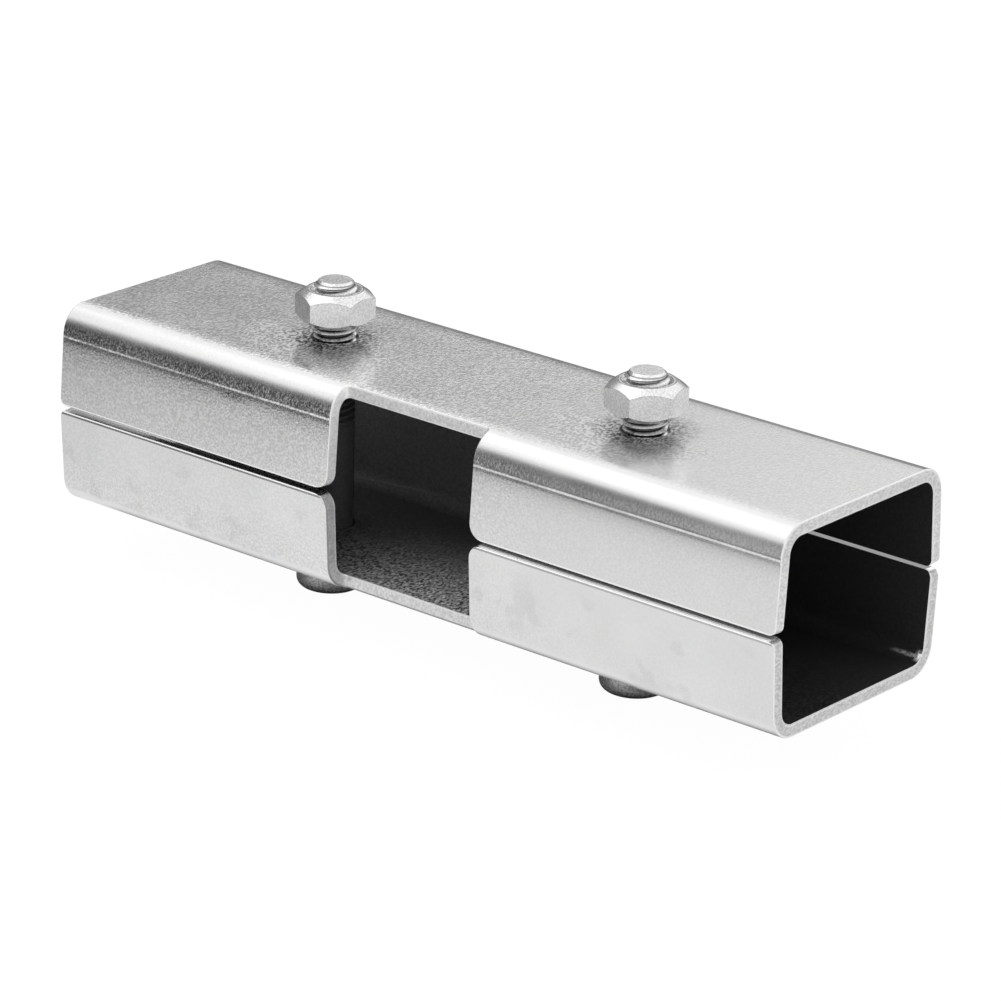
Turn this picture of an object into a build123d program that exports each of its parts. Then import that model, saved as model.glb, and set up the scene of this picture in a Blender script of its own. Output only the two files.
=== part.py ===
from build123d import *
from math import cos, radians, sin, tan
import os

# Tee connector for square tube. Two folded shells of the same shape face each other
# round the tube and are drawn together by two screws. The run lies along X, the branch
# leaves through the notch at the front (-Y), and the heads of the screws stand on Z = 0.

# Folded shells
run_length = 168.0
web_width = 45.5  # between the corner lines of the web's outside face
shells_height = 39.0  # outside face to outside face, with the clamp open as shown
shells_gap = 0.6  # between the nearest edges of facing flanges
sheet = 2.5
bend_radius = 3.0  # inside of the fold
flange_splay = 3.5  # lean of each flange away from the run, in degrees
end_corner_radius = 1.5
edge_break = 0.25  # worn edge all round the blank

# Notch for the branch
notch_width = 33.5
notch_setback = 4.25  # from the front corner line back into the web
notch_root_radius = 1.0
notch_corner_radius = 3.0  # free corners of the flange on each side of the notch

# Screws
screw_spacing = 73.0
screw_diameter = 8.0
screw_length = 50.0  # under the head
screw_tip_chamfer = 1.0
head_diameter = 13.0
head_height = 10.0
head_rim_radius = 1.8
head_edge = 0.3
socket_across_flats = 6.0
socket_depth = 4.0
hole_clearance = 0.5  # radial, screw to web

# Nuts
nut_across_flats = 13.0
nut_height = 6.5
nut_face_radius = 5.3  # flat ring inside the corner chamfers
nut_chamfer_angle = 36.0
nut_mouth = 0.5  # bevel where the bore opens
nut_clearance = 0.05  # radial, screw to bore
nut_lift = 2.8  # air between nut and upper web, with the clamp open as shown
left_nut_turn = 33.9
right_nut_turn = 45.3

# Sizes that follow
flange_rise = (shells_height - shells_gap) / 2
web_front = notch_setback - web_width / 2
screw_radius = screw_diameter / 2
nut_base = head_height + shells_height + nut_lift


def channel_section():
    """Section across the run, web down, outside face of the web at height zero"""
    lean = radians(flange_splay)
    tip_height = flange_rise - sheet * sin(lean)
    corner = web_width / 2
    tip = corner + tip_height * tan(lean)
    with BuildSketch(Plane.YZ) as section:
        with BuildLine():
            FilletPolyline(
                (-tip, tip_height),
                (-corner, 0),
                (corner, 0),
                (tip, tip_height),
                radius=bend_radius + sheet,
            )
            offset(amount=sheet, side=Side.LEFT)
        make_face()
    return section.sketch


def free_corners(part, x):
    """Edges through the sheet at the flanges' free corners, x away from the middle of the run"""
    short = part.edges().filter_by(lambda edge: abs(edge.length - sheet) < 0.01)
    high = short.filter_by(lambda edge: edge.center().Z > flange_rise - sheet)
    return high.filter_by(lambda edge: abs(abs(edge.center().X) - x) < 0.01)


def notch_roots(part):
    """Edges through the sheet where the sides of the notch meet its back"""
    upright = part.edges().filter_by(Axis.Z)
    return upright.filter_by(lambda edge: abs(edge.center().Y - web_front) < 0.01)


def free_edges(part):
    """Long edges on both sides of the sheet where the flanges end"""
    return part.edges().filter_by(Axis.X).filter_by(lambda edge: edge.center().Z > flange_rise - sheet)


def folded_shell():
    """One half of the clamp, web down, with the notch at the front"""
    with BuildPart() as shell:
        extrude(channel_section(), amount=run_length / 2, dir=(1, 0, 0), both=True)
        with Locations((0, web_front, 0)):
            Box(
                notch_width,
                web_width,
                2 * shells_height,
                align=(Align.CENTER, Align.MAX, Align.CENTER),
                mode=Mode.SUBTRACT,
            )
        fillet(free_corners(shell.part, run_length / 2), radius=end_corner_radius)
        fillet(free_corners(shell.part, notch_width / 2), radius=notch_corner_radius)
        fillet(notch_roots(shell.part), radius=notch_root_radius)
        # every corner of the blank is round, so the worn edge runs on round the whole outline
        fillet(free_edges(shell.part), radius=edge_break)
        with Locations((-screw_spacing / 2, 0, 0), (screw_spacing / 2, 0, 0)):
            Cylinder(screw_radius + hole_clearance, 4 * sheet, mode=Mode.SUBTRACT)
    return shell.part


def lower_shell():
    return Pos(0, 0, head_height) * folded_shell()


def upper_shell():
    """The same folded shell turned over end for end, so that the notch stays at the front"""
    return Pos(0, 0, head_height + shells_height) * Rot(0, 180, 0) * folded_shell()


def cap_screw():
    """Round head with a key socket below, plain shank above"""
    with BuildPart() as screw:
        Cylinder(head_diameter / 2, head_height, align=(Align.CENTER, Align.CENTER, Align.MIN))
        rims = screw.edges().filter_by(GeomType.CIRCLE).sort_by(Axis.Z)
        fillet(rims[0], radius=head_rim_radius)
        chamfer(rims[-1], length=head_edge)
        with BuildSketch():
            RegularPolygon(socket_across_flats / 2, 6, major_radius=False)
        extrude(amount=socket_depth, mode=Mode.SUBTRACT)
        with Locations((0, 0, head_height)):
            Cylinder(screw_radius, screw_length, align=(Align.CENTER, Align.CENTER, Align.MIN))
        tip = screw.edges().filter_by(GeomType.CIRCLE).sort_by(Axis.Z)[-1]
        chamfer(tip, length=screw_tip_chamfer)
    return screw.part


def hexagon_nut():
    """Hexagon nut with its corners turned down on both faces"""
    corner_radius = nut_across_flats / 2 / cos(radians(30))
    drop = (corner_radius - nut_face_radius) * tan(radians(nut_chamfer_angle))
    with BuildPart() as nut:
        with BuildSketch():
            RegularPolygon(nut_across_flats / 2, 6, major_radius=False)
        extrude(amount=nut_height)
        with BuildSketch(Plane.XZ):
            with BuildLine():
                Polyline(
                    (0, 0),
                    (nut_face_radius, 0),
                    (corner_radius, drop),
                    (corner_radius, nut_height - drop),
                    (nut_face_radius, nut_height),
                    (0, nut_height),
                    close=True,
                )
            make_face()
        revolve(axis=Axis.Z, mode=Mode.INTERSECT)
        Cylinder(screw_radius + nut_clearance, 3 * nut_height, mode=Mode.SUBTRACT)
        mouths = nut.edges().filter_by(GeomType.CIRCLE)
        mouths = mouths.filter_by(lambda edge: edge.radius < screw_radius + 1)
        chamfer(mouths, length=nut_mouth)
    return nut.part


def place_screw(x):
    return Pos(x, 0, 0) * cap_screw()


def place_nut(x, turn):
    return Pos(x, 0, nut_base) * Rot(0, 0, turn) * hexagon_nut()


def main():
    os.makedirs("parts", exist_ok=True)
    export_step(lower_shell(), "parts/lower_shell.step")
    export_step(upper_shell(), "parts/upper_shell.step")
    export_step(place_screw(-screw_spacing / 2), "parts/bolt_left.step")
    export_step(place_screw(screw_spacing / 2), "parts/bolt_right.step")
    export_step(place_nut(-screw_spacing / 2, left_nut_turn), "parts/nut_left.step")
    export_step(place_nut(screw_spacing / 2, right_nut_turn), "parts/nut_right.step")


if __name__ == "__main__":
    main()
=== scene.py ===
import math
from types import SimpleNamespace

import bmesh
import bpy
from mathutils import Matrix, Vector


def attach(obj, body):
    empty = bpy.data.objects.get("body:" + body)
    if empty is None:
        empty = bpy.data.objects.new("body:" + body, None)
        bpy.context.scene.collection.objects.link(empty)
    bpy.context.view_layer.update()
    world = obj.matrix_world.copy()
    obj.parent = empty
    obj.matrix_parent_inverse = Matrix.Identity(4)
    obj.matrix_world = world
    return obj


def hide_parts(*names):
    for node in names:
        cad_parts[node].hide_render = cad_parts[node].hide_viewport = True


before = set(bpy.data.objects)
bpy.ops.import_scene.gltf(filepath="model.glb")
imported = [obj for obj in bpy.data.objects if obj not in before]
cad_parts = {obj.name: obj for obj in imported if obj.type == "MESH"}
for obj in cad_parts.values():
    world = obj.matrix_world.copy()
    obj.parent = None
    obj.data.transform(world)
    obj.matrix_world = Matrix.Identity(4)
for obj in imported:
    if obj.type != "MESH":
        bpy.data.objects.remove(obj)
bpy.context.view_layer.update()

# Sizes and places are in millimetres in the CAD frame. Blender itself works in metres.
# A pair of places says where something starts and where it is full. Where near() takes the pair,
# it is the middle of a mark and half its width.
MM = 0.001

# Screws
HEAD_RADIUS = 6.5
HEAD_HEIGHT = 10.0
HEAD_RIM = 1.8
HEAD_EDGE = 0.3
SOCKET_FLATS = 6.0
SOCKET_DEPTH = 4.0
SOCKET_BEVEL = 0.25
SHANK_RADIUS = 4.0
SCREW_TOP = 60.0
SCREW_X = 36.5
TIP_CHAMFER = 1.0
THREAD_START = 32.0
THREAD_PITCH = 1.25
THREAD_DEPTH = 0.68
THREAD_RUN_IN = 2 * THREAD_PITCH
THREAD_PROFILE = ((0.00, 0.0), (0.14, 0.0), (0.44, 1.0), (0.60, 1.0), (0.90, 0.0))  # shares of pitch, depth
ROUND_SIDES = 72
RIM_STEPS = 8
CREASE_DEGREES = 32
WELD_METRES = 1e-7

# Shells
HALF_SHELLS = 19.5
LOWER_WEB = HEAD_HEIGHT
MID_HEIGHT = LOWER_WEB + HALF_SHELLS
WEB_TOP = MID_HEIGHT + HALF_SHELLS
WEB_FRONT = -18.5  # back of the notch
WEB_CORNER = 22.75
SHEET = 2.5
BEND_OUTSIDE = 5.5
FLANGE_EDGE = 0.3  # above and below the middle height
FLANGE_LEAN = 0.061  # outwards for each millimetre of height
EDGE_BREAK = 0.25

# Nuts
NUT_TOP = 58.3
NUT_RING = 5.3  # radius of the flat ring inside the chamfer
NUT_CHAMFER = 0.7265  # fall of the chamfer for each millimetre outwards

# Relief of the folds, by distance from the web's outside face
FOLD_END = 5.16
FOLD_FADE = 2.2
FOLD_SLOPE = 0.13
DIE_LINE = 5.9
DIE_LINE_HALF = 0.48
DIE_LINE_DEPTH = 0.075
LINE_WEAR = (0.35, 1.0)  # shares of that depth where it is most and least worn
LOWER_LINE = 0.1  # share of that depth on the lower shell
WEB_FLAT = 15.2  # from the middle of the web to where its slow curve to the fold begins
WEB_CURVE = 2.2
WEB_SLOPE = 0.055
WEB_SLOPE_RIGHT = 0.3 * WEB_SLOPE
WEB_SLOPE_X = (20.0, 55.0)

# Relief of the worn free edges of the flanges, by distance from the edge
WORN_WIDTH = 0.55
WORN_SLOPE_LOWER = 0.80
WORN_SLOPE_UPPER = 0.27
WORN_SLOPE_UPPER_RIGHT = 0.06
WORN_X = (0.0, 20.0)
WORN_ROLL = 0.95
WORN_ROLL_SLOPE = 0.22

# Limits of the parts of the shells, by place or by how far the surface faces one way
ABOVE_UP = (-0.1, 0.1)
FRONT_Y = (1.0, -1.0)
ON_WEB = (0.6, 0.3)
INSIDE_OUTWARD = (-3.0, -9.0)
NOTCH_BACK_HALF = 0.8
NOTCH_X = (22.0, 20.0)
WORN_EDGE = (WORN_WIDTH + 0.05, WORN_WIDTH - 0.05)
BACK_FACING = (-0.6, -0.85)
CUT_FACING = (0.45, 0.6)
SIDE_FACING = (0.5, 0.8)
FOLD_FACING = (0.30, 0.55)
WEB_FACING = (0.999, 0.97)
LEVEL_FACING = (0.93, 0.97)
STEEP_FACING = (0.3, 0.1)

# Patterns: how many to a metre, stretch along X, Y and Z, and the span that each mostly keeps to
PEEL_SCALE = 2300
CELL_SCALE = 1500
GRAIN_STRETCH = (1.0, 0.6, 1.0)
CLOUD_SCALE = 70
STREAK_SCALE = 900
STREAK_STRETCH = (0.02, 1.0, 1.0)
STAIN_SCALE = 120
WEAR_SCALE = 90
TINT_SCALE = 160
NUT_PEEL_SCALE = 2600
NUT_CLOUD_SCALE = 300
SCREW_PEEL_SCALE = 2400
SCREW_CLOUD_SCALE = 260
STEEL_TINT_SCALE = 200
PEEL = (0.42, 0.58)
CELL = (0.15, 0.60)
CLOUD = (0.3, 0.7)
STAIN = (0.57, 0.66)
WEAR = (0.35, 0.6)
RED_TINT = (0.992, 1.004)  # shares where the tint's pattern is zero and one
BLUE_TINT = (1.008, 0.985)

# Bright zinc outside. A pair holds what is added at the two ends of a pattern, or at left and right.
ZINC = 0.77
ZINC_PEEL = (-0.13, 0.13)
ZINC_CELLS = (0.07, -0.09)
ZINC_CLOUD = (-0.025, 0.025)
ZINC_ROUGH = 0.20
ZINC_ROUGH_CLOUD = (-0.02, 0.04)
ZINC_GRAIN = 0.038
# Lengthwise streaks on the folds, all lighter: a painted highlight
FOLD_HIGHLIGHT_STREAK = (0.04, 0.09)
FOLD_ROUGH = 0.06
FOLD_CALM = 0.90  # share of the grain that the fold loses
STAIN_TONE = -0.05
STAIN_ROUGH = 0.08
STAIN_UP = (0.0, -9.0)
BAND = (4.6, 1.7)  # from the web
BAND_GRAIN = 1.2  # what the band adds to the strength of the grain
CALM_X = (-5.0, 45.0)
CALM_RIGHT = 0.25
CALM_FROM_WEB = (6.0, 12.0)
CALM_FLANGE = 0.55
CALM_LOWER = 0.4

# Dark marks: painted shade round each screw, under the upper shell's die line and along the lower shell's
# free edge; grain before each nut; a smear beside the left screw
SCREW_SHADE_REACH = (11.5, 5.0)  # round each screw
SCREW_SHADE_PEEL = (-0.44, -0.10)
SCREW_SHADE_CELLS = (0.02, -0.14)
SCREW_SHADE_ROUGH = 0.10
DAPPLE_REACH = (20.0, 13.0)  # before each nut
DAPPLE_Y = (0.0, -4.0)
DAPPLE_PEEL = (-0.14, 0.10)
DAPPLE_ROUGH = 0.08
LINE_SHADE = (DIE_LINE + 0.62, 0.34)  # under the upper shell's die line
LINE_SHADE_X = (-10.0, 20.0)
LINE_SHADE_TONE = (-0.20, -0.05)
SMEAR_X = (-40.5, 5.0)  # under that line too, beside the left screw
SMEAR_FROM_WEB = (7.1, 1.1)
SMEAR_PEEL = (-0.50, -0.15)
# Painted shade along the lower shell's free edge, under the gap between the shells
GAP_SHADE = (0.78, 0.28)  # line along the lower shell's free edge
GAP_SHADE_X = (-80.0, 50.0)
GAP_SHADE_TONE = (-0.42, -0.10)

# Free edges: a painted highlight along the worn edges, and painted light and shade on the edge faces in the
# gap between the shells
EDGE_HIGHLIGHT_TONE = 0.96
WORN_ROUGH = 0.28
FLAT_EDGE_ROUGH = 0.10
EDGE_X = (0.0, 16.0)
EDGE_LEFT_TONE = 0.58
EDGE_RIGHT_TONE = 0.97
EDGE_DEEP = (0.60, 0.80)  # from the outside face
EDGE_DEEP_TONE = 0.36
EDGE_RIGHT_METALLIC = 0.1

# Inside, painted shade: near black in the run, grey behind the notch, with painted light on its floor
# towards the notch's middle
INSIDE_SHADE = 0.022
DARK_ROUGH = 0.55
DARK_METALLIC = 0.2
BEHIND_NOTCH_X = -10.0
BEHIND_NOTCH_REACH = (56.0, 38.0)
FLOOR_Y = (15.0, -13.0)
FLOOR_UP = (-10.0, -15.0)
WALL_X = (-46.0, -18.0)
WALL_SHADE_TONE = (0.17, 0.09)
WALL_GRAIN = 0.03
WALL_PITS = 0.25
FLOOR_X = (-32.0, 0.0)
INSIDE_FLOOR_LIGHT = (0.21, 0.60)
FLOOR_GRAIN = 0.12
PIT_PEEL = (-0.45, 0.45)
PIT_CELLS = (0.30, -0.45)

# Painted glint in the low rear corner of the right end, a spot with a trail, and a faint lighter line seen
# in the notch
GLINT_Y = (19.7, 1.2)
GLINT_TONE = 1.6
GLINT_PEEL = (0.5, 1.5)
SPOT_X = (83.6, 1.2)
SPOT_UP = (-15.8, 1.2)
TRAIL_X = (82.0, 5.5)
TRAIL_UP = (-16.0, 0.45)
TRAIL_SHARE = 0.25
FAINT_LINE_SLOPE = 0.065  # rise for each millimetre along X
FAINT_LINE_UP = (-13.0, 0.40)
FAINT_LINE_X = (-38.0, 18.0)
FAINT_LINE_TONE = 0.06

# Cut ends, their cores lighter or darker by place as painted light and shade, their borders painted
# highlights. A pair of cores is for the lower and the upper shell.
END_CORE = (0.61, 0.71)
NOTCH_BACK_CORE = (0.74, 0.72)
NOTCH_SIDE_CORE = (0.57, 0.97)
CORE_PEEL = (-0.07, 0.07)
CORE_CELLS = (0.04, -0.05)
INNER_BORDER = (SHEET - 0.15, 0.45)
OUTER_BORDER = (0.10, 0.35)
BORDER_HIGHLIGHT_TONE = 0.97
BORDER_SHARE_END = 0.8
LOW_RIM = (0.40, 0.20)  # depth below the outside face
LOW_RIM_TONE = 0.30
CUT_ROUGH = 0.42
END_METALLIC = 0.45
NOTCH_BACK_METALLIC = 0.6
NOTCH_SIDE_METALLIC = 0.15

# Nuts
NUT_TONE = 0.82
NUT_CLOUD = (-0.05, 0.05)
NUT_PEEL = (-0.07, 0.07)
NUT_RINGS = ((5.15, 0.26), (4.62, 0.18))
NUT_RING_TONE = -0.45
NUT_RING_DEPTH = 0.05
NUT_ARC_HALF = 0.16
NUT_ARC_TONE = -0.26
NUT_ROUGH = 0.24
NUT_ROUGH_CLOUD = (-0.03, 0.05)
FINE_GRAIN = 0.03

# Screws: bright thread with painted shade in its grooves, shank painted dark as shade between the webs, dark
# head with its rim painted darker as shade
THREAD_TONE = 0.84
GROOVE_RADIUS = (3.85, 3.45)
GROOVE_TIP = (SCREW_TOP - 0.9, SCREW_TOP - 1.3)
GROOVE_Z = (SCREW_TOP - 6.0, SCREW_TOP - 3.5)
GROOVE_SHADE_TONE = (-0.72, -0.30)
TIP_LINES = ((SCREW_TOP - 0.50, 0.19), (SCREW_TOP - 1.10, 0.19))
TIP_LINE_TONE = -0.60
THREAD_SEEN_Z = (WEB_TOP - 2.6, WEB_TOP - 1.6)
THREAD_ROUGH_CLOUD = (0.18, 0.26)
SHANK_SHADE_TONE = 0.085
SHANK_ROUGH = 0.65
SHANK_METALLIC = 0.2
HEAD_Z = (LOWER_WEB + 1.2, LOWER_WEB + 0.6)
HEAD_RIM_Z = (0.3, 1.6)
HEAD_TONE = (0.10, 0.92)
HEAD_PEEL = (0.78, 1.22)
HEAD_ROUGH = 0.34
SCREW_PEEL = (0.90, 1.10)
SCREW_CLOUD = (-0.06, 0.06)

# Studio walls: degrees round from +X towards +Y, and level of light up to the ceiling's edge
WALLS = ((0, 0.92), (85, 0.92), (112, 0.30), (186, 0.30), (200, 0.95), (207, 0.55), (215, 0.05),
         (228, 0.03), (244, 0.85), (270, 0.92), (360, 0.92))

# Ceiling: sines of the height of its edge, and where along X and Y that height changes
CEILING_RIGHT = 0.295
CEILING_LEFT = 0.640
CEILING_FRONT = 0.55
CEILING_X = (-0.545, -0.950)
CEILING_Y = (0.3, -0.3)
CEILING_SOFT = 0.012
CEILING_LIGHT = 1.04

# Painted pool of light on the floor, with a painted shadow close under the object
POOL_X = 70.0
POOL_Y = -40.0
POOL_REACH = (100.0, 520.0)
POOL_LIGHT = (0.91, 0.05)
UNDER_X = 78.0
UNDER_Y = 9.0
UNDER_SOFT = 13.0
UNDER_LIGHT = 0.06
FLOOR_TO_EYE = 1.02
FLOOR_GLOW = 0.95
FLOOR_MATT = 0.95
FLOOR_HALF = 6000.0
FLOOR_CELLS = 12

# Softbox
LAMP_PLACE = (-300, -100, 700)
LAMP_TARGET = (0, 0, 40)
LAMP_SIZE = 500
LAMP_WATTS = 0.25

# The photograph's camera: angles in degrees, sizes of the picture in pixels
IMAGE_SIDE = 1001.0
FOCAL_PIXELS = 4746.77
AZIMUTH = 39.52
ELEVATION = 20.37
ROLL = 1.67
DISTANCE = 859.15
SHIFT_RIGHT = 3.14
SHIFT_UP = -3.09
SENSOR_WIDTH = 36.0
CLIP_METRES = (0.01, 100.0)


# Meshes

def new_object(name, bm):
    mesh = bpy.data.meshes.new(name)
    bm.to_mesh(mesh)
    bm.free()
    for polygon in mesh.polygons:
        polygon.use_smooth = True
    obj = bpy.data.objects.new(name, mesh)
    bpy.context.scene.collection.objects.link(obj)
    return obj


def new_vertex(bm, radius, angle, z):
    return bm.verts.new((radius * math.cos(angle) * MM, radius * math.sin(angle) * MM, z * MM))


def ring(bm, radius, z):
    """Circle of vertices about Z."""
    return [new_vertex(bm, radius, 2 * math.pi * i / ROUND_SIDES, z) for i in range(ROUND_SIDES)]


def hexagon_ring(bm, flats, z):
    """The same number of vertices laid along a hexagon, so that it can be bridged to a circle."""
    verts = []
    for i in range(ROUND_SIDES):
        angle = 2 * math.pi * i / ROUND_SIDES
        from_flat = (angle + math.pi / 6) % (math.pi / 3) - math.pi / 6
        verts.append(new_vertex(bm, flats / 2 / math.cos(from_flat), angle, z))
    return verts


def bridge(bm, lower, upper):
    for i in range(len(lower)):
        after = (i + 1) % len(lower)
        bm.faces.new((lower[i], lower[after], upper[after], upper[i]))


def thread_rows(bm, start):
    """Rows of vertices for one turn of the thread, which starts at this height where the angle is zero."""
    rows = []
    for along, depth in THREAD_PROFILE:
        row = []
        for i in range(ROUND_SIDES + 1):
            phase = i / ROUND_SIDES
            z = start + THREAD_PITCH * (along + phase)
            run_in = min(max((z - THREAD_START) / THREAD_RUN_IN, 0.0), 1.0)
            radius = SHANK_RADIUS - THREAD_DEPTH * depth * run_in
            radius = min(radius, SHANK_RADIUS - TIP_CHAMFER + max(SCREW_TOP - z, 0.0))
            row.append(new_vertex(bm, radius, 2 * math.pi * phase, min(max(z, THREAD_START), SCREW_TOP)))
        rows.append(row)
    return rows


def threaded_shank(bm):
    """Shank with a real helical thread, rows of vertices following the helix."""
    turns = int((SCREW_TOP - THREAD_START) / THREAD_PITCH) + 2
    rows = []
    for turn in range(-1, turns):
        rows += thread_rows(bm, THREAD_START + THREAD_PITCH * turn)
    for below, above in zip(rows, rows[1:]):
        for i in range(ROUND_SIDES):
            bm.faces.new((below[i], below[i + 1], above[i + 1], above[i]))
    bmesh.ops.remove_doubles(bm, verts=bm.verts, dist=WELD_METRES)
    bmesh.ops.dissolve_degenerate(bm, edges=bm.edges, dist=WELD_METRES)


def head_and_shank(bm):
    """Everything below the thread: plain shank, round head and key socket."""
    profile = [(SHANK_RADIUS, THREAD_START), (SHANK_RADIUS, HEAD_HEIGHT),
               (HEAD_RADIUS - HEAD_EDGE, HEAD_HEIGHT), (HEAD_RADIUS, HEAD_HEIGHT - HEAD_EDGE)]
    for i in range(RIM_STEPS + 1):
        angle = math.pi / 2 * i / RIM_STEPS
        profile.append((HEAD_RADIUS - HEAD_RIM * (1 - math.cos(angle)), HEAD_RIM * (1 - math.sin(angle))))
    rings = [ring(bm, radius, z) for radius, z in profile]
    rings.append(hexagon_ring(bm, SOCKET_FLATS + 2 * SOCKET_BEVEL, 0))
    rings.append(hexagon_ring(bm, SOCKET_FLATS, SOCKET_BEVEL))
    rings.append(hexagon_ring(bm, SOCKET_FLATS, SOCKET_DEPTH))
    for above, below in zip(rings, rings[1:]):
        bridge(bm, below, above)
    bm.faces.new(rings[-1])


def screw(name, node, body, x):
    """Cap screw in place of the plain CAD one, with its thread and key socket."""
    bm = bmesh.new()
    threaded_shank(bm)
    bm.faces.new(ring(bm, SHANK_RADIUS - TIP_CHAMFER, SCREW_TOP))
    head_and_shank(bm)
    bmesh.ops.recalc_face_normals(bm, faces=bm.faces)
    bmesh.ops.translate(bm, verts=bm.verts, vec=(x * MM, 0, 0))
    obj = new_object(name, bm)
    edge = obj.modifiers.new("crease", "EDGE_SPLIT")
    edge.split_angle = math.radians(CREASE_DEGREES)
    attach(obj, body)
    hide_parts(node)
    return obj


# Materials

class Tree:
    """Small helper to wire the nodes of a new material, or of the tree that it is given."""

    def __init__(self, name, tree=None):
        self.material = None
        if tree is None:
            self.material = bpy.data.materials.new(name)
            self.material.use_nodes = True
            tree = self.material.node_tree
        self.tree = tree
        self.tree.nodes.clear()
        self.coord = self.add("ShaderNodeTexCoord")
        if self.material:
            self.output = self.add("ShaderNodeOutputMaterial")

    def add(self, kind, **inputs):
        node = self.tree.nodes.new(kind)
        for key, value in inputs.items():
            self.feed(node.inputs[key.replace("_", " ")], value)
        return node

    def feed(self, socket, value):
        if hasattr(value, "is_output"):
            self.tree.links.new(value, socket)
        else:
            socket.default_value = value

    def math(self, operation, a, b=0.0):
        node = self.tree.nodes.new("ShaderNodeMath")
        node.operation = operation
        self.feed(node.inputs[0], a)
        self.feed(node.inputs[1], b)
        return node.outputs[0]

    def sum(self, *items):
        total = items[0]
        for item in items[1:]:
            total = self.math("ADD", total, item)
        return total

    def product(self, *items):
        total = items[0]
        for item in items[1:]:
            total = self.math("MULTIPLY", total, item)
        return total

    def minus(self, a, b):
        return self.math("SUBTRACT", a, b)

    def size(self, a):
        return self.math("ABSOLUTE", a)

    def larger(self, a, b):
        return self.math("MAXIMUM", a, b)

    def smaller(self, a, b):
        return self.math("MINIMUM", a, b)

    def length(self, a, b):
        return self.math("SQRT", self.sum(self.product(a, a), self.product(b, b)))

    def scaled(self, vector, factors):
        node = self.tree.nodes.new("ShaderNodeVectorMath")
        node.operation = "MULTIPLY"
        self.feed(node.inputs[0], vector)
        self.feed(node.inputs[1], factors)
        return node.outputs[0]

    def noise(self, scale, detail=2.0, roughness=0.5, stretch=None):
        node = self.add("ShaderNodeTexNoise", Scale=scale, Detail=detail, Roughness=roughness)
        source = self.coord.outputs["Object"]
        if stretch:
            source = self.scaled(source, stretch)
        self.feed(node.inputs["Vector"], source)
        return node.outputs["Fac"]

    def cells(self, scale, stretch):
        """Zero in the middle of each small cell and largest where cells meet."""
        node = self.add("ShaderNodeTexVoronoi", Scale=scale)
        self.feed(node.inputs["Vector"], self.scaled(self.coord.outputs["Object"], stretch))
        return node.outputs["Distance"]

    def remap(self, value, low, high, to_low=0.0, to_high=1.0, smooth=False):
        node = self.tree.nodes.new("ShaderNodeMapRange")
        node.interpolation_type = "SMOOTHSTEP" if smooth else "LINEAR"
        for index, item in enumerate((value, low, high, to_low, to_high)):
            self.feed(node.inputs[index], item)
        return node.outputs[0]

    def near(self, value, centre, half):
        """One where the value is at the centre, falling smoothly to zero at half away from it."""
        return self.remap(self.size(self.minus(value, centre)), 0.0, half, 1.0, 0.0, smooth=True)

    def blend(self, factor, a, b):
        node = self.tree.nodes.new("ShaderNodeMix")
        node.data_type = "FLOAT"
        self.feed(node.inputs["Factor"], factor)
        self.feed(node.inputs[2], a)
        self.feed(node.inputs[3], b)
        return node.outputs[0]

    def tinted(self, tone, warm):
        """Grey of the tone given, a trace yellower where warm is one and bluer where it is zero."""
        red = self.product(tone, self.remap(warm, 0.0, 1.0, *RED_TINT))
        blue = self.product(tone, self.remap(warm, 0.0, 1.0, *BLUE_TINT))
        return self.add("ShaderNodeCombineColor", Red=red, Green=tone, Blue=blue).outputs[0]

    def split(self, vector):
        return self.add("ShaderNodeSeparateXYZ", Vector=vector).outputs

    def millimetres(self, place):
        return self.split(self.scaled(place, (1 / MM, 1 / MM, 1 / MM)))

    def position(self):
        return self.millimetres(self.coord.outputs["Object"])

    def facing(self):
        return self.split(self.coord.outputs["Normal"])

    def bump(self, height):
        """Bump of a height in millimetres."""
        height = self.product(height, MM)
        return self.add("ShaderNodeBump", Height=height, Distance=1.0, Strength=1.0).outputs[0]

    def surface(self, color, roughness, metallic, normal):
        node = self.add("ShaderNodeBsdfPrincipled", Metallic=metallic)
        self.feed(node.inputs["Base Color"], color)
        self.feed(node.inputs["Roughness"], roughness)
        self.feed(node.inputs["Normal"], normal)
        self.tree.links.new(node.outputs[0], self.output.inputs["Surface"])
        return self.material


def grey(value):
    return (value, value, value, 1.0)


def from_screw(t, pos):
    """Distance from the axis of the nearer screw."""
    return t.length(t.minus(t.size(pos["X"]), SCREW_X), pos["Y"])


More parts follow.
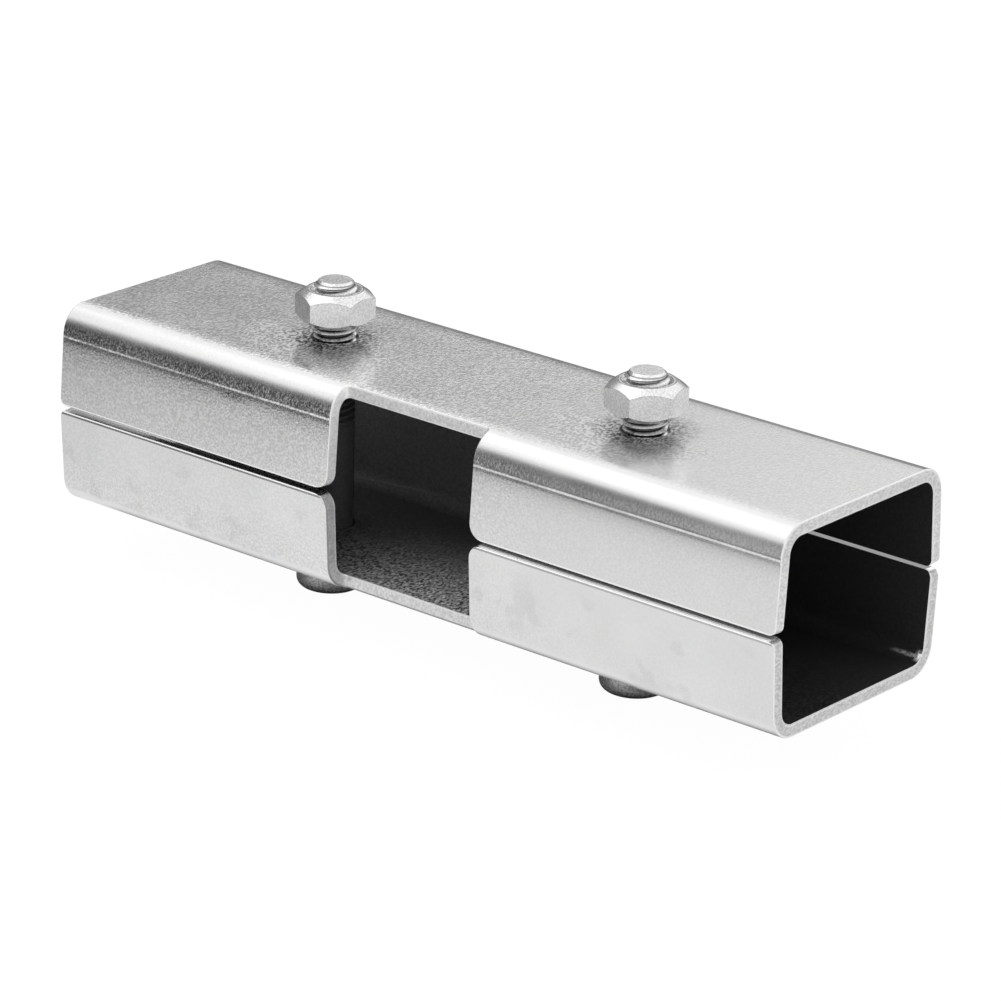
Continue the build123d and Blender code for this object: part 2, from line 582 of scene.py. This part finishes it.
def shell_places(t):
    """Where the surface lies on the shells: distances in millimetres and masks from zero to one."""
    pos, face = t.position(), t.facing()
    at = SimpleNamespace(x=pos["X"], y=pos["Y"], up=t.minus(pos["Z"], MID_HEIGHT))
    at.above = t.remap(at.up, *ABOVE_UP)
    at.front = t.remap(at.y, *FRONT_Y)
    at.from_web = t.minus(HALF_SHELLS, t.size(at.up))
    at.from_edge = t.minus(t.size(at.up), FLANGE_EDGE)
    at.from_screw = from_screw(t, pos)
    at.half_width = t.sum(WEB_CORNER, t.product(at.from_web, FLANGE_LEAN))

    outward = t.sum(t.product(face["Y"], at.y), t.product(face["Z"], at.up))
    at.inside = t.remap(outward, *INSIDE_OUTWARD, smooth=True)
    sideways = t.size(face["X"])
    at.side_cut = t.remap(sideways, *SIDE_FACING)
    back_of_notch = t.product(t.near(at.y, WEB_FRONT, NOTCH_BACK_HALF), t.remap(face["Y"], *BACK_FACING))
    at.cut = t.larger(t.remap(sideways, *CUT_FACING, smooth=True), back_of_notch)
    at.in_notch = t.product(at.cut, t.remap(t.size(at.x), *NOTCH_X))
    level = t.size(face["Z"])
    at.fold = t.product(t.remap(level, *FOLD_FACING, smooth=True), t.remap(level, *WEB_FACING, smooth=True))
    at.worn = t.product(t.remap(at.from_edge, *WORN_EDGE), t.minus(1.0, at.inside))
    at.flat_edge = t.product(at.worn, t.remap(level, *LEVEL_FACING))
    at.on_right = t.product(t.remap(at.x, *EDGE_X), at.front)

    at.peel = t.noise(PEEL_SCALE, detail=1, roughness=0.6, stretch=GRAIN_STRETCH)
    at.cells = t.cells(CELL_SCALE, stretch=GRAIN_STRETCH)
    return at


def fold_relief(t, at):
    """Height of the slow curve between fold and flange, of the die line, and of the worn free edge."""
    past = t.minus(at.from_web, FOLD_END)
    fade = t.math("EXPONENT", t.math("DIVIDE", t.larger(past, 0.0), -FOLD_FADE))
    lead = t.product(fade, -FOLD_FADE * FOLD_SLOPE)
    inward = t.larger(t.product(past, -1.0), 0.0)
    eased = t.minus(inward, t.product(inward, inward, 0.5 / FOLD_END))
    rise = t.product(eased, -FOLD_SLOPE)

    beside = t.larger(t.minus(t.size(at.y), WEB_FLAT), 0.0)
    curve = t.smaller(beside, WEB_CURVE)
    bow = t.sum(t.product(curve, curve, 0.5 / WEB_CURVE), t.minus(beside, curve))
    bow = t.product(bow, t.remap(at.x, *WEB_SLOPE_X, -WEB_SLOPE, -WEB_SLOPE_RIGHT))

    wear = t.remap(t.noise(WEAR_SCALE, detail=0), *WEAR, *LINE_WEAR)
    pressed = t.product(wear, t.blend(at.above, LOWER_LINE, 1.0))
    groove = t.product(t.near(at.from_web, DIE_LINE, DIE_LINE_HALF), pressed, -DIE_LINE_DEPTH)

    upper_slope = t.remap(at.x, *WORN_X, WORN_SLOPE_UPPER, WORN_SLOPE_UPPER_RIGHT)
    slope = t.blend(at.above, WORN_SLOPE_LOWER, upper_slope)
    from_break = t.larger(at.from_edge, t.remap(at.x, *WORN_X, 0.0, EDGE_BREAK))
    worn = t.product(t.larger(t.minus(WORN_WIDTH, from_break), 0.0), slope, -1.0)
    roll = t.larger(t.minus(WORN_ROLL, at.from_edge), 0.0)
    roll = t.product(roll, t.minus(1.0, at.above), -WORN_ROLL_SLOPE)
    return t.sum(lead, rise, bow, groove, worn, roll)


def sheet_depth(t, at):
    """Depth below the outside face of the folded sheet, as seen on its cut ends."""
    over_web = t.minus(BEND_OUTSIDE, at.from_web)
    over_side = t.minus(BEND_OUTSIDE, t.minus(at.half_width, t.size(at.y)))
    corner = t.length(t.larger(over_web, 0.0), t.larger(over_side, 0.0))
    beyond = t.smaller(t.larger(over_web, over_side), 0.0)
    return t.minus(BEND_OUTSIDE, t.sum(corner, beyond))


def coarseness(t, at):
    """Strength of the grain: less on the right, the flanges and the lower shell, least in the fold."""
    coarse = t.blend(t.remap(at.x, *CALM_X, smooth=True), 1.0, CALM_RIGHT)
    coarse = t.product(coarse, t.remap(at.from_web, *CALM_FROM_WEB, 1.0, CALM_FLANGE))
    coarse = t.product(coarse, t.blend(at.above, CALM_LOWER, 1.0))
    return t.product(coarse, t.minus(1.0, t.product(at.fold, FOLD_CALM)))


def dark_marks(t, at, screw_shade, dapple):
    """Tones of the marks that darken the bright zinc: painted shade round each screw, under the die line and
    along the lower shell's free edge; grain before each nut; a smear beside the left screw.
    """
    round_screws = t.sum(t.remap(at.peel, *PEEL, *SCREW_SHADE_PEEL), t.remap(at.cells, *CELL, *SCREW_SHADE_CELLS))
    line_shade = t.product(t.near(at.from_web, *LINE_SHADE), at.above)
    smear = t.product(t.near(at.x, *SMEAR_X), t.near(at.from_web, *SMEAR_FROM_WEB), at.above, at.front)
    # Painted shade along the lower shell's free edge, under the gap between the shells
    gap_shade = t.product(t.near(at.from_edge, *GAP_SHADE), t.minus(1.0, at.above))
    return t.sum(t.product(screw_shade, round_screws),
                 t.product(dapple, t.remap(at.peel, *PEEL, *DAPPLE_PEEL)),
                 t.product(line_shade, t.remap(at.x, *LINE_SHADE_X, *LINE_SHADE_TONE)),
                 t.product(smear, t.remap(at.peel, *PEEL, *SMEAR_PEEL)),
                 t.product(gap_shade, t.remap(at.x, *GAP_SHADE_X, *GAP_SHADE_TONE)))


def bright_outside(t, at, coarse):
    """Tone and roughness of the rolled zinc: speckled grain, clouding, stains, a painted highlight on the
    folds, and dark marks that are mostly painted shade.
    """
    cloud = t.noise(CLOUD_SCALE, detail=2, roughness=0.6)
    streak = t.noise(STREAK_SCALE, detail=1, stretch=STREAK_STRETCH)
    stain = t.remap(t.noise(STAIN_SCALE, detail=2, roughness=0.7), *STAIN, smooth=True)
    stain = t.product(stain, t.remap(at.up, *STAIN_UP, smooth=True))
    on_web = t.remap(at.from_web, *ON_WEB)
    # Painted shade round each screw
    screw_shade = t.product(t.remap(at.from_screw, *SCREW_SHADE_REACH, smooth=True), on_web)
    dapple = t.product(t.remap(at.from_screw, *DAPPLE_REACH, smooth=True), t.remap(at.y, *DAPPLE_Y), on_web)

    band = t.product(t.near(at.from_web, *BAND), at.above)
    mottle = t.sum(t.remap(at.peel, *PEEL, *ZINC_PEEL), t.remap(at.cells, *CELL, *ZINC_CELLS))
    mottle = t.product(mottle, coarse, t.sum(1.0, t.product(band, BAND_GRAIN)))
    tone = t.sum(ZINC, mottle, t.remap(cloud, *CLOUD, *ZINC_CLOUD), t.product(stain, STAIN_TONE),
                 # Painted highlight with streaks on the folds
                 t.product(at.fold, t.remap(streak, *CLOUD, *FOLD_HIGHLIGHT_STREAK)),
                 dark_marks(t, at, screw_shade, dapple))
    rough = t.sum(ZINC_ROUGH, t.remap(cloud, *CLOUD, *ZINC_ROUGH_CLOUD), t.product(stain, STAIN_ROUGH),
                  t.product(at.fold, FOLD_ROUGH), t.product(screw_shade, SCREW_SHADE_ROUGH),
                  t.product(dapple, DAPPLE_ROUGH))
    return tone, rough


def with_free_edges(t, at, tone, rough):
    """The same with a painted highlight along the flanges' worn free edges, and painted light and shade on
    their edge faces: bright on the right, darker on the left and deep in the gap between the shells.
    """
    deep = t.remap(t.minus(at.half_width, t.size(at.y)), *EDGE_DEEP)
    # Painted light and shade on the edge faces in the gap, and a painted highlight along the worn edges
    in_gap = t.blend(at.on_right, EDGE_LEFT_TONE, t.blend(deep, EDGE_RIGHT_TONE, EDGE_DEEP_TONE))
    tone = t.blend(at.worn, tone, EDGE_HIGHLIGHT_TONE)
    tone = t.blend(at.flat_edge, tone, t.blend(at.front, EDGE_HIGHLIGHT_TONE, in_gap))
    rough = t.blend(at.worn, rough, WORN_ROUGH)
    return tone, t.blend(at.flat_edge, rough, FLAT_EDGE_ROUGH)


def painted_shade_inside(t, at, on_floor):
    """Tone of the inside, painted shade: near black in the run, grey with a coarse grain behind the notch,
    with painted light on the floor there; also a painted glint and a faint lighter line.
    """
    behind_notch = t.remap(t.size(t.minus(at.x, BEHIND_NOTCH_X)), *BEHIND_NOTCH_REACH, smooth=True)
    # Painted shade on the wall behind the notch, darker to the right, and painted light on the floor,
    # lighter towards the notch's middle
    wall = t.remap(at.x, *WALL_X, *WALL_SHADE_TONE)
    floor = t.remap(at.x, *FLOOR_X, *INSIDE_FLOOR_LIGHT)
    tone = t.sum(INSIDE_SHADE, t.product(behind_notch, t.blend(on_floor, wall, floor)))
    pits = t.sum(t.remap(at.peel, *PEEL, *PIT_PEEL), t.remap(at.cells, *CELL, *PIT_CELLS))
    tone = t.product(tone, t.sum(1.0, t.product(pits, t.blend(on_floor, WALL_PITS, 1.0))))

    # Painted glint: a spot with a trail in the low rear corner of the right end
    spot = t.product(t.near(at.x, *SPOT_X), t.near(at.up, *SPOT_UP))
    trail = t.product(t.near(at.x, *TRAIL_X), t.near(at.up, *TRAIL_UP), TRAIL_SHARE)
    painted_glint = t.product(t.near(at.y, *GLINT_Y), t.larger(spot, trail))
    painted_glint = t.product(painted_glint, t.remap(at.peel, *PEEL, *GLINT_PEEL))
    # A faint lighter line seen in the notch
    faint_line = t.near(t.sum(at.up, t.product(at.x, -FAINT_LINE_SLOPE)), *FAINT_LINE_UP)
    faint_line = t.product(faint_line, t.near(at.x, *FAINT_LINE_X), t.minus(1.0, at.front))
    return t.sum(tone, t.product(painted_glint, GLINT_TONE), t.product(faint_line, FAINT_LINE_TONE))


def cut_ends(t, at):
    """Tone of the cut ends: a grey core, lighter or darker by place as painted light and shade, between two
    borders painted bright as highlights, dark along the notch's lower rim.
    """
    depth = sheet_depth(t, at)
    # Cores lighter or darker by place: painted light and shade
    back_core, side_core = t.blend(at.above, *NOTCH_BACK_CORE), t.blend(at.above, *NOTCH_SIDE_CORE)
    core = t.blend(at.in_notch, t.blend(at.above, *END_CORE), t.blend(at.side_cut, back_core, side_core))
    tone = t.sum(core, t.remap(at.peel, *PEEL, *CORE_PEEL), t.remap(at.cells, *CELL, *CORE_CELLS))
    # Borders painted bright as highlights
    border = t.larger(t.near(depth, *INNER_BORDER), t.near(depth, *OUTER_BORDER))
    border = t.product(border, t.blend(at.in_notch, BORDER_SHARE_END, 1.0))
    tone = t.blend(border, tone, BORDER_HIGHLIGHT_TONE)
    low_rim = t.product(at.in_notch, t.minus(1.0, at.above), t.remap(depth, *LOW_RIM))
    return t.blend(low_rim, tone, LOW_RIM_TONE)


def shell_metal():
    """Bright zinc on rolled sheet outside with painted highlights and shade, inside painted dark as shade,
    paler cut ends.
    """
    t = Tree("shell_zinc")
    at = shell_places(t)
    coarse = coarseness(t, at)
    on_floor = t.product(t.remap(at.y, *FLOOR_Y, smooth=True), t.remap(at.up, *FLOOR_UP))

    tone, rough = bright_outside(t, at, coarse)
    tone, rough = with_free_edges(t, at, tone, rough)
    tone = t.blend(at.inside, tone, painted_shade_inside(t, at, on_floor))
    tone = t.blend(at.cut, tone, cut_ends(t, at))
    rough = t.blend(at.inside, rough, DARK_ROUGH)
    rough = t.blend(at.cut, rough, CUT_ROUGH)
    metallic = t.blend(t.product(at.flat_edge, at.on_right), 1.0, EDGE_RIGHT_METALLIC)
    metallic = t.blend(at.inside, metallic, DARK_METALLIC)
    notch_metallic = t.blend(at.side_cut, NOTCH_BACK_METALLIC, NOTCH_SIDE_METALLIC)
    metallic = t.blend(at.cut, metallic, t.blend(at.in_notch, END_METALLIC, notch_metallic))

    grain_inside = t.blend(on_floor, WALL_GRAIN, FLOOR_GRAIN)
    grain = t.product(at.peel, t.blend(at.inside, t.product(coarse, ZINC_GRAIN), grain_inside))
    relief = t.product(fold_relief(t, at), t.minus(1.0, at.inside))
    warm = t.noise(TINT_SCALE, detail=1)
    return t.surface(t.tinted(tone, warm), rough, metallic, t.bump(t.sum(grain, relief)))


def nut_metal():
    """Zinc plated nut with turned rings round the bore and a dark line along the chamfer's arcs."""
    t = Tree("nut_zinc")
    pos, face = t.position(), t.facing()
    out = from_screw(t, pos)
    level = t.size(face["Z"])
    fine = t.noise(NUT_PEEL_SCALE, detail=1)
    cloud = t.noise(NUT_CLOUD_SCALE, detail=2)
    warm = t.noise(STEEL_TINT_SCALE, detail=1)
    outer_ring, inner_ring = (t.near(out, *place) for place in NUT_RINGS)
    rings = t.product(t.larger(outer_ring, inner_ring), t.remap(level, *LEVEL_FACING))
    cone = t.sum(pos["Z"], t.product(t.minus(out, NUT_RING), NUT_CHAMFER))
    arcs = t.product(t.near(cone, NUT_TOP, NUT_ARC_HALF), t.remap(level, *STEEP_FACING))
    tone = t.sum(NUT_TONE, t.remap(cloud, *CLOUD, *NUT_CLOUD), t.remap(fine, *PEEL, *NUT_PEEL),
                 t.product(rings, NUT_RING_TONE), t.product(arcs, NUT_ARC_TONE))
    rough = t.sum(NUT_ROUGH, t.remap(cloud, *CLOUD, *NUT_ROUGH_CLOUD))
    height = t.sum(t.product(fine, FINE_GRAIN), t.product(rings, -NUT_RING_DEPTH))
    return t.surface(t.tinted(tone, warm), rough, 1.0, t.bump(height))


def thread_tone(t, pos):
    """Bright crests, painted shade in the grooves that lightens towards the tip, and two turned lines at the
    tip.
    """
    groove = t.remap(from_screw(t, pos), *GROOVE_RADIUS, smooth=True)
    # Painted shade in the thread's grooves, darker further from the tip
    groove = t.product(groove, t.remap(pos["Z"], *GROOVE_TIP), t.remap(pos["Z"], *GROOVE_Z, *GROOVE_SHADE_TONE))
    upper_line, lower_line = (t.near(pos["Z"], *place) for place in TIP_LINES)
    return t.sum(THREAD_TONE, groove, t.product(t.larger(upper_line, lower_line), TIP_LINE_TONE))


def screw_metal():
    """Bright thread with painted shade in its grooves, darker head with its rim painted dark as shade, shank
    painted dark as shade between the webs.
    """
    t = Tree("screw_zinc")
    pos = t.position()
    fine = t.noise(SCREW_PEEL_SCALE, detail=1, roughness=0.6)
    cloud = t.noise(SCREW_CLOUD_SCALE, detail=2)
    warm = t.noise(STEEL_TINT_SCALE, detail=1)
    thread = t.remap(pos["Z"], *THREAD_SEEN_Z)
    head = t.remap(pos["Z"], *HEAD_Z)
    shank = t.minus(1.0, t.larger(thread, head))
    # The head's bottom rim painted dark as shade
    head_tone = t.remap(pos["Z"], *HEAD_RIM_Z, *HEAD_TONE, smooth=True)
    head_tone = t.product(head_tone, t.remap(fine, *PEEL, *HEAD_PEEL))
    # Shank painted dark as shade between the webs
    tone = t.blend(head, SHANK_SHADE_TONE, head_tone)
    tone = t.blend(thread, tone, thread_tone(t, pos))
    tone = t.product(tone, t.sum(t.remap(fine, *PEEL, *SCREW_PEEL), t.remap(cloud, *CLOUD, *SCREW_CLOUD)))
    rough = t.blend(thread, HEAD_ROUGH, t.remap(cloud, *CLOUD, *THREAD_ROUGH_CLOUD))
    rough = t.blend(shank, rough, SHANK_ROUGH)
    metallic = t.blend(shank, 1.0, SHANK_METALLIC)
    return t.surface(t.tinted(tone, warm), rough, metallic, t.bump(t.product(fine, FINE_GRAIN)))


def paint(obj, material):
    if not obj.data.materials:
        obj.data.materials.append(material)
    for slot in obj.material_slots:
        slot.material = material


def dress():
    sheet = shell_metal()
    nut = nut_metal()
    steel = screw_metal()
    for node in ("upper_shell", "lower_shell"):
        paint(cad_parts[node], sheet)
    for node in ("nut_left", "nut_right"):
        paint(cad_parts[node], nut)
    paint(screw("screw_left", "bolt_left", "left screw", -SCREW_X), steel)
    paint(screw("screw_right", "bolt_right", "right screw", SCREW_X), steel)


# Studio

def floor_material():
    """White to the eye. In reflections it is a painted pool of light round the object, with a painted shadow
    close under it.
    """
    t = Tree("studio_floor")
    path = t.add("ShaderNodeLightPath")
    place = t.millimetres(t.add("ShaderNodeNewGeometry").outputs["Position"])
    over_x = t.larger(t.minus(t.size(place["X"]), UNDER_X), 0.0)
    over_y = t.larger(t.minus(t.size(place["Y"]), UNDER_Y), 0.0)
    # Painted shadow close under the object, seen in reflections
    clear = t.remap(t.length(over_x, over_y), 0.0, UNDER_SOFT, UNDER_LIGHT, 1.0, smooth=True)
    away = t.length(t.minus(place["X"], POOL_X), t.minus(place["Y"], POOL_Y))
    # Painted pool of light round the object
    pool = t.remap(away, *POOL_REACH, *POOL_LIGHT, smooth=True)
    eye = path.outputs["Is Camera Ray"]
    level = t.blend(eye, t.product(clear, pool), FLOOR_TO_EYE)
    seen = t.larger(eye, path.outputs["Is Glossy Ray"])
    matt = t.add("ShaderNodeBsdfDiffuse", Color=grey(FLOOR_MATT))
    glow = t.add("ShaderNodeEmission", Color=grey(1.0), Strength=level)
    mix = t.add("ShaderNodeMixShader", Fac=t.product(seen, FLOOR_GLOW))
    t.tree.links.new(matt.outputs[0], mix.inputs[1])
    t.tree.links.new(glow.outputs[0], mix.inputs[2])
    t.tree.links.new(mix.outputs[0], t.output.inputs["Surface"])
    return t.material


def make_floor():
    bm = bmesh.new()
    places = [FLOOR_HALF * MM * (2 * i / FLOOR_CELLS - 1) for i in range(FLOOR_CELLS + 1)]
    rows = [[bm.verts.new((x, y, 0)) for x in places] for y in places]
    for near_row, far_row in zip(rows, rows[1:]):
        for i in range(FLOOR_CELLS):
            bm.faces.new((near_row[i], near_row[i + 1], far_row[i + 1], far_row[i]))
    obj = new_object("studio_floor", bm)
    paint(obj, floor_material())


def make_lamp():
    """Soft panel lamp that the camera itself doesn't see."""
    data = bpy.data.lights.new("softbox", "AREA")
    data.shape = "RECTANGLE"
    data.size = data.size_y = LAMP_SIZE * MM
    data.energy = LAMP_WATTS
    obj = bpy.data.objects.new("softbox", data)
    obj.location = Vector(LAMP_PLACE) * MM
    obj.rotation_mode = "QUATERNION"
    obj.rotation_quaternion = (Vector(LAMP_TARGET) - Vector(LAMP_PLACE)).to_track_quat("-Z", "Y")
    obj.visible_camera = False
    bpy.context.scene.collection.objects.link(obj)


def make_world():
    """White where the camera looks. All else sees a bright ceiling over walls that are dim on the left."""
    world = bpy.data.worlds.new("studio")
    bpy.context.scene.world = world
    world.use_nodes = True
    t = Tree("studio", world.node_tree)
    output = t.add("ShaderNodeOutputWorld")
    path = t.add("ShaderNodeLightPath")
    way = t.split(t.coord.outputs["Generated"])
    turn = t.product(t.math("ARCTAN2", way["Y"], way["X"]), 1 / (2 * math.pi))
    ramp = t.add("ShaderNodeValToRGB", Fac=t.math("FRACT", t.sum(turn, 1.0)))
    stops = ramp.color_ramp.elements
    stops[0].color, stops[1].color = grey(WALLS[0][1]), grey(WALLS[-1][1])
    for degrees, level in WALLS[1:-1]:
        stops.new(degrees / 360).color = grey(level)
    rear = t.remap(way["X"], *CEILING_X, CEILING_RIGHT, CEILING_LEFT)
    edge = t.blend(t.remap(way["Y"], *CEILING_Y), rear, CEILING_FRONT)
    ceiling = t.remap(t.minus(way["Z"], edge), -CEILING_SOFT, CEILING_SOFT, smooth=True)
    studio = t.blend(ceiling, ramp.outputs[0], CEILING_LIGHT)
    level = t.blend(path.outputs["Is Camera Ray"], studio, 1.0)
    back = t.add("ShaderNodeBackground", Color=grey(1.0), Strength=level)
    t.tree.links.new(back.outputs[0], output.inputs["Surface"])


def make_camera():
    azimuth, elevation, roll = (math.radians(angle) for angle in (AZIMUTH, ELEVATION, ROLL))
    level, height = math.cos(elevation), math.sin(elevation)
    back = Vector((math.sin(azimuth) * level, -math.cos(azimuth) * level, height))
    side = Vector((math.cos(azimuth), math.sin(azimuth), 0))
    rise = Vector((-math.sin(azimuth) * height, math.cos(azimuth) * height, level))
    right = side * math.cos(roll) + rise * math.sin(roll)
    up = rise * math.cos(roll) - side * math.sin(roll)
    place = Vector((0, 0, MID_HEIGHT)) + back * DISTANCE + right * SHIFT_RIGHT + up * SHIFT_UP
    data = bpy.data.cameras.new("photo_view")
    data.sensor_width = SENSOR_WIDTH
    data.lens = FOCAL_PIXELS / IMAGE_SIDE * SENSOR_WIDTH
    data.clip_start, data.clip_end = CLIP_METRES
    obj = bpy.data.objects.new("photo_view", data)
    turn = Matrix((right, up, back)).transposed().to_4x4()
    obj.matrix_world = Matrix.Translation(place * MM) @ turn
    bpy.context.scene.collection.objects.link(obj)
    bpy.context.scene.camera = obj


def main():
    dress()
    make_floor()
    make_lamp()
    make_world()
    make_camera()
    scene = bpy.context.scene
    scene.view_settings.view_transform = "Standard"


main()
